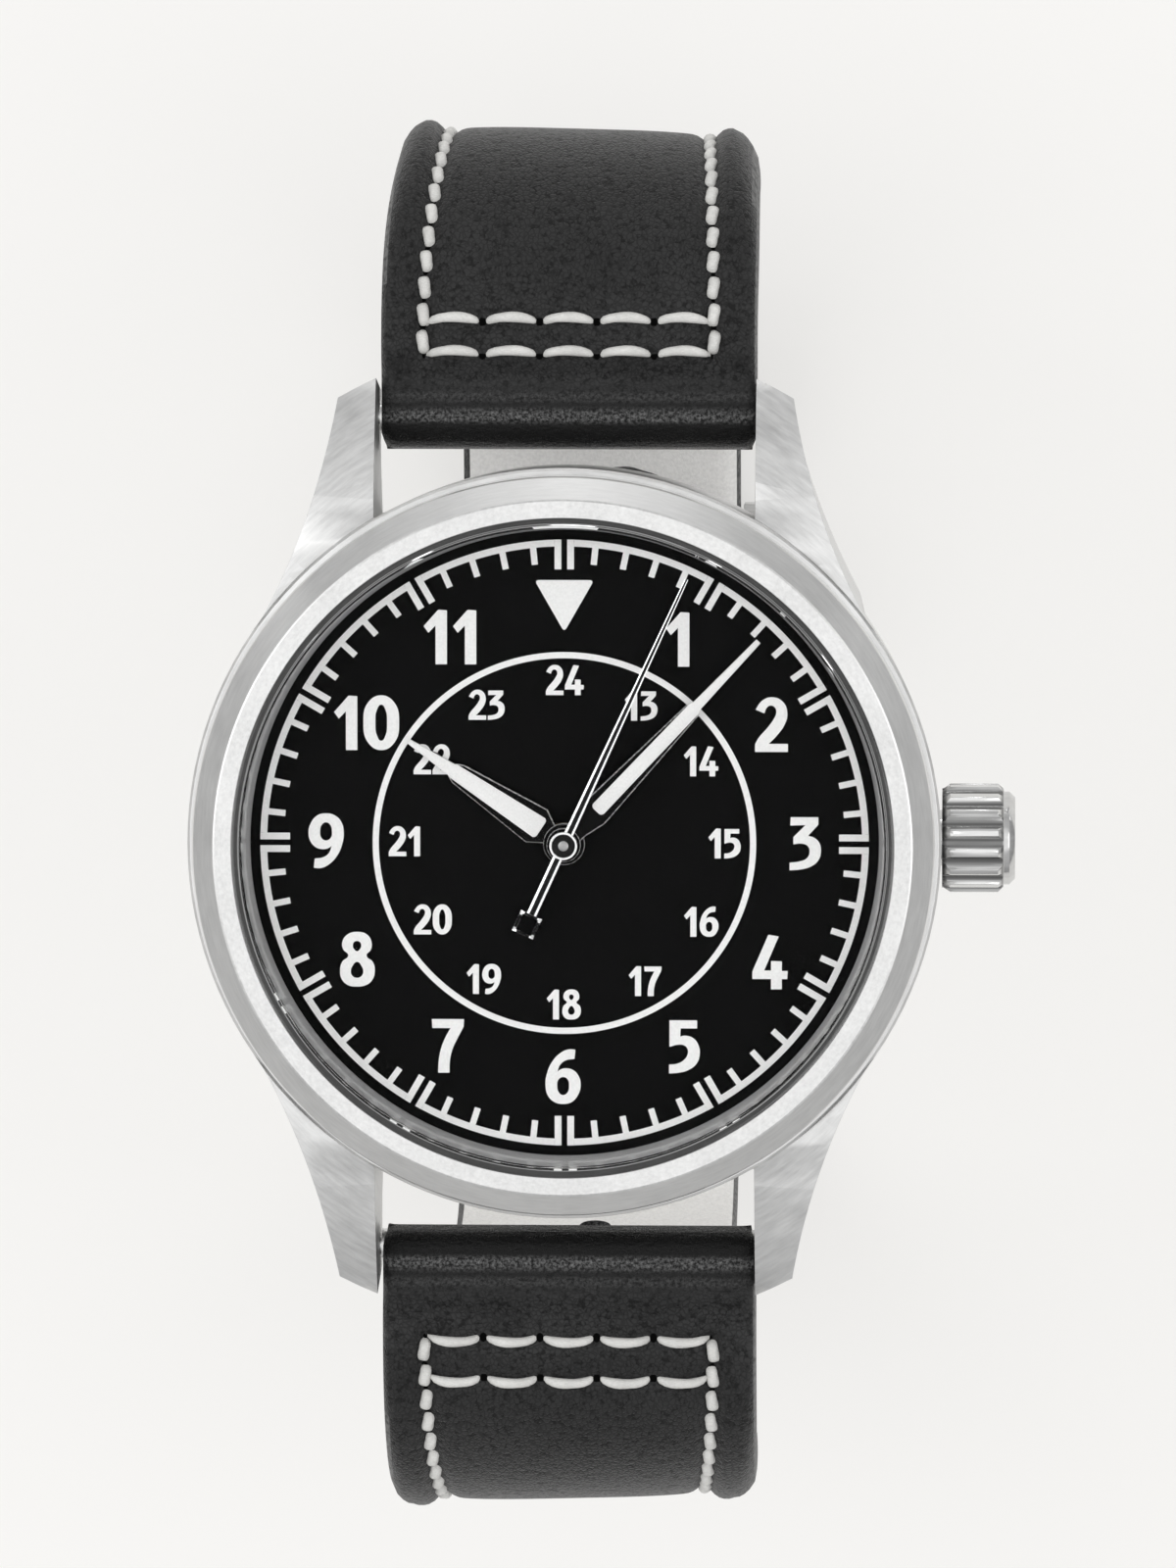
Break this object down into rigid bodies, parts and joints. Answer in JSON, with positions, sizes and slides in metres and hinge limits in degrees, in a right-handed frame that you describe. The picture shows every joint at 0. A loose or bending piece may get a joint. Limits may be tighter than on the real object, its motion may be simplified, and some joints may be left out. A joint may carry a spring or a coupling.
{
  "type": "pilot watch",
  "caption": "Round wristwatch with a black numeral dial, framed sword hands, fluted crown and padded leather strap.",
  "frame": {"origin": "on the hands' axis, in the plane of the case back's outer face", "axes": "+Z out through the crystal, +Y towards 12 o'clock, +X towards the crown at 3 o'clock"},
  "size_m": [0.0439, 0.075, 0.0664],
  "materials": {
    "case_steel": "brushed",
    "bezel_steel": "brushed top, polished bevel",
    "polished_steel": "polished",
    "sapphire": "polished, coated",
    "seal_rubber": "smooth",
    "flange_grey": "satin",
    "dial_black": "matt",
    "hand_black": "satin",
    "lume_white": "matt",
    "holder_grey": "moulded",
    "plate_rhodium": "plated, grained",
    "wheel_brass": "gilt",
    "hard_steel": "ground",
    "spring_steel": "tempered",
    "jewel_ruby": "polished",
    "rotor_metal": "striped",
    "strap_leather": "fine grain",
    "buckle_steel": "brushed"
  },
  "bodies": {
    "case": {"mid_case": "case_steel", "bezel": "bezel_steel", "crystal": "sapphire", "crystal_gasket": "seal_rubber", "dial_flange": "flange_grey", "dial": "dial_black", "case_back": "case_steel", "back_window": "sapphire", "back_window_gasket": "seal_rubber", "back_gasket": "seal_rubber", "crown_tube": "polished_steel", "movement_holder": "holder_grey", "spring_bar_12": "polished_steel", "spring_bar_6": "polished_steel", "main_plate": "plate_rhodium", "train_bridge": "plate_rhodium", "barrel_bridge": "plate_rhodium", "balance_cock": "plate_rhodium", "pallet_bridge": "plate_rhodium", "jewels": "jewel_ruby", "bridge_screws": "polished_steel", "hairspring": "spring_steel", "rotor_bearing": "hard_steel"},
    "seconds": {"fourth_wheel": "wheel_brass", "seconds_hand": "polished_steel"},
    "third": {"third_wheel": "wheel_brass"},
    "minutes": {"centre_wheel": "wheel_brass", "cannon_pinion": "wheel_brass", "minute_hand": "hand_black", "minute_hand_lume": "lume_white"},
    "motion": {"minute_wheel": "wheel_brass"},
    "hours": {"hour_wheel": "wheel_brass", "hour_hand": "hand_black", "hour_hand_lume": "lume_white"},
    "barrel_drum": {"barrel": "wheel_brass", "mainspring": "spring_steel"},
    "escape": {"escape_wheel": "hard_steel"},
    "pallets": {"pallet_fork": "hard_steel"},
    "balance": {"balance_wheel": "wheel_brass"},
    "rotor": {"rotor": "rotor_metal"},
    "reversing": {"reversing_wheel": "wheel_brass"},
    "reduction": {"reduction_wheel": "wheel_brass"},
    "crown_slide": {"crown_gasket": "seal_rubber"},
    "crown": {"crown": "polished_steel", "winding_stem": "hard_steel"},
    "stem_pinions": {"winding_pinion": "hard_steel", "sliding_pinion": "hard_steel"},
    "crown_wheel": {"crown_wheel": "hard_steel"},
    "ratchet": {"ratchet_wheel": "hard_steel", "barrel_arbor": "hard_steel"},
    "click": {"click": "hard_steel"},
    "setting_lever": {"setting_lever": "hard_steel"},
    "strap_12": {"strap_buckle_half": "strap_leather", "fixed_keeper": "strap_leather"},
    "strap_6": {"strap_tail_half": "strap_leather"},
    "buckle": {"buckle_frame": "buckle_steel", "buckle_bar": "buckle_steel"},
    "tongue": {"buckle_tongue": "buckle_steel"},
    "free_keeper": {"free_keeper": "strap_leather"}
  },
  "joints": [
    {"name": "seconds_turn", "type": "hinge", "parent": "case", "child": "seconds", "pos_m": [0, 0, 0.005], "axis": [0, 0, -1], "continuous": true},
    {"name": "third_turn", "type": "hinge", "parent": "case", "child": "third", "pos_m": [-0.00443, -0.00078, 0.005], "axis": [0, 0, -1], "continuous": true},
    {"name": "minutes_turn", "type": "hinge", "parent": "case", "child": "minutes", "pos_m": [0, 0, 0.005], "axis": [0, 0, -1], "continuous": true},
    {"name": "motion_turn", "type": "hinge", "parent": "case", "child": "motion", "pos_m": [-0.0009, -0.00248, 0.005], "axis": [0, 0, -1], "continuous": true},
    {"name": "hours_turn", "type": "hinge", "parent": "case", "child": "hours", "pos_m": [0, 0, 0.005], "axis": [0, 0, -1], "continuous": true},
    {"name": "barrel_turn", "type": "hinge", "parent": "case", "child": "barrel_drum", "pos_m": [0.00315, 0.00546, 0.005], "axis": [0, 0, -1], "continuous": true},
    {"name": "escape_turn", "type": "hinge", "parent": "case", "child": "escape", "pos_m": [0.00114, -0.00425, 0.005], "axis": [0, 0, -1], "continuous": true},
    {"name": "pallet_rock", "type": "hinge", "parent": "case", "child": "pallets", "pos_m": [0.00367, -0.00493, 0.005], "axis": [0, 0, -1], "range_deg": [-4, 4]},
    {"name": "balance_swing", "type": "hinge", "parent": "case", "child": "balance", "pos_m": [0.00647, -0.00568, 0.005], "axis": [0, 0, -1], "range_deg": [-140, 140]},
    {"name": "rotor_turn", "type": "hinge", "parent": "case", "child": "rotor", "pos_m": [0, 0, 0.005], "axis": [0, 0, 1], "continuous": true},
    {"name": "reversing_turn", "type": "hinge", "parent": "case", "child": "reversing", "pos_m": [-0.00369, -0.00258, 0.005], "axis": [0, 0, 1], "continuous": true},
    {"name": "reduction_turn", "type": "hinge", "parent": "case", "child": "reduction", "pos_m": [-0.00231, -0.00497, 0.005], "axis": [0, 0, 1], "continuous": true},
    {"name": "crown_pull", "type": "slide", "parent": "case", "child": "crown_slide", "axis": [1, 0, 0], "range_m": [0, 0.0012]},
    {"name": "crown_turn", "type": "hinge", "parent": "crown_slide", "child": "crown", "pos_m": [0.021, 0, 0.005], "axis": [1, 0, 0], "continuous": true},
    {"name": "stem_pinions_turn", "type": "hinge", "parent": "case", "child": "stem_pinions", "pos_m": [0.009, 0, 0.005], "axis": [1, 0, 0], "continuous": true},
    {"name": "crown_wheel_turn", "type": "hinge", "parent": "case", "child": "crown_wheel", "pos_m": [0.00588, 0, 0.005], "axis": [0, 0, 1], "continuous": true},
    {"name": "ratchet_turn", "type": "hinge", "parent": "case", "child": "ratchet", "pos_m": [0.00315, 0.00546, 0.005], "axis": [0, 0, 1], "continuous": true},
    {"name": "click_lift", "type": "hinge", "parent": "case", "child": "click", "pos_m": [-0.0023, 0.0083, 0.0033], "axis": [0, 0, 1], "range_deg": [0, 8]},
    {"name": "setting_lever_turn", "type": "hinge", "parent": "case", "child": "setting_lever", "pos_m": [0.0117, 0.00253, 0.0069], "axis": [0, 0, 1], "range_deg": [0, 27]},
    {"name": "strap_12_hinge", "type": "hinge", "parent": "case", "child": "strap_12", "pos_m": [0, 0.0223, 0.003], "axis": [1, 0, 0], "range_deg": [0, 75]},
    {"name": "strap_6_hinge", "type": "hinge", "parent": "case", "child": "strap_6", "pos_m": [0, -0.0223, 0.003], "axis": [-1, 0, 0], "range_deg": [0, 75]},
    {"name": "buckle_hinge", "type": "hinge", "parent": "strap_12", "child": "buckle", "pos_m": [0, 0.0122, -0.05185], "axis": [1, 0, 0], "range_deg": [-6, 55]},
    {"name": "tongue_hinge", "type": "hinge", "parent": "buckle", "child": "tongue", "pos_m": [0, 0.0122, -0.05185], "axis": [1, 0, 0], "range_deg": [0, 70]},
    {"name": "free_keeper_slide", "type": "slide", "parent": "strap_12", "child": "free_keeper", "axis": [0, -0.2079, -0.9781], "range_m": [-0.003, 0.005]}
  ],
  "couplings": [
    {"joint": "third_turn", "follows": "seconds_turn", "ratio": -0.125},
    {"joint": "minutes_turn", "follows": "seconds_turn", "ratio": 0.016667},
    {"joint": "motion_turn", "follows": "seconds_turn", "ratio": -0.0055556},
    {"joint": "hours_turn", "follows": "seconds_turn", "ratio": 0.0013889},
    {"joint": "barrel_turn", "follows": "seconds_turn", "ratio": -0.0027778},
    {"joint": "escape_turn", "follows": "seconds_turn", "ratio": -10},
    {"joint": "reversing_turn", "follows": "rotor_turn", "ratio": -0.5},
    {"joint": "reduction_turn", "follows": "rotor_turn", "ratio": 0.13889},
    {"joint": "stem_pinions_turn", "follows": "crown_turn", "ratio": 1},
    {"joint": "crown_wheel_turn", "follows": "crown_turn", "ratio": 0.63636},
    {"joint": "ratchet_turn", "follows": "crown_turn", "ratio": -0.35897},
    {"joint": "setting_lever_turn", "follows": "crown_pull", "rad_per_m": 388.11}
  ]
}
